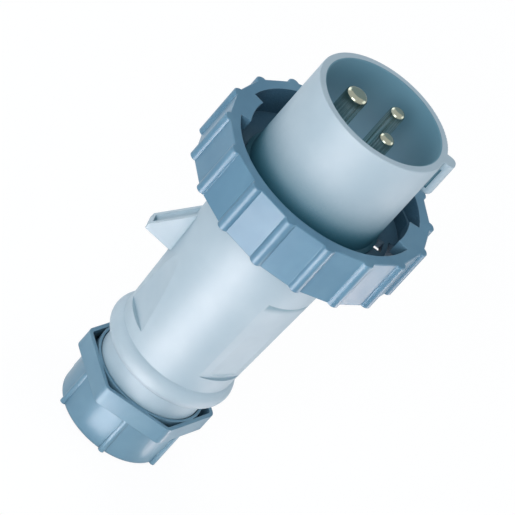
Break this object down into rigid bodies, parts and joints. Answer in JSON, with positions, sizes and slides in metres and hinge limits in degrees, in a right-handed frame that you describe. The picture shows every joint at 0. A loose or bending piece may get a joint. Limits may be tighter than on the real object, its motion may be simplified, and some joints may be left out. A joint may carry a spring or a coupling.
{
  "type": "industrial pin and sleeve plug",
  "caption": "Watertight industrial plug with a round shroud and key, three round pins, a ribbed bayonet ring, a tapered grip with a catch nose, and a cable gland.",
  "frame": {"origin": "on the plug's axis at the rear face of the gland nut, where the plug can stand upright", "axes": "+Z runs along the axis from the gland to the pins; +X points to the key of the shroud; the earth pin and the catch nose lie on -X"},
  "size_m": [0.071, 0.071, 0.1375],
  "materials": {
    "body_plastic": "satin light grey",
    "ring_plastic": "satin blue grey",
    "carrier_plastic": "matt dark grey",
    "gland_plastic": "matt natural white",
    "pin_metal": "nickel plated, turned",
    "screw_steel": "zinc plated",
    "seal_rubber": "matt black"
  },
  "bodies": {
    "plug": {"front_body": "body_plastic", "handle": "body_plastic", "contact_carrier": "carrier_plastic", "retainer_plate": "carrier_plastic", "carrier_screw_1": "screw_steel", "carrier_screw_2": "screw_steel", "carrier_screw_3": "screw_steel", "earth_pin": "pin_metal", "live_pin": "pin_metal", "neutral_pin": "pin_metal", "earth_terminal_screw": "screw_steel", "live_terminal_screw": "screw_steel", "neutral_terminal_screw": "screw_steel", "earth_wire_leaf": "screw_steel", "live_wire_leaf": "screw_steel", "neutral_wire_leaf": "screw_steel", "body_seal": "seal_rubber", "gland_seal": "seal_rubber", "gland_cage": "gland_plastic"},
    "ring": {"bayonet_ring": "ring_plastic"},
    "slip": {"slip_ring": "gland_plastic"},
    "nut": {"gland_nut": "ring_plastic"}
  },
  "joints": [
    {"name": "ring_turn", "type": "hinge", "parent": "plug", "child": "ring", "pos_m": [0, 0, 0.1], "axis": [0, 0, 1], "range_deg": [0, 50]},
    {"name": "nut_travel", "type": "slide", "parent": "plug", "child": "slip", "axis": [0, 0, -1], "range_m": [0, 0.006]},
    {"name": "nut_turn", "type": "hinge", "parent": "slip", "child": "nut", "pos_m": [0, 0, 0.01], "axis": [0, 0, -1], "range_deg": [0, 1080]}
  ],
  "couplings": [
    {"joint": "nut_travel", "follows": "nut_turn", "m_per_rad": 0.00031831}
  ]
}
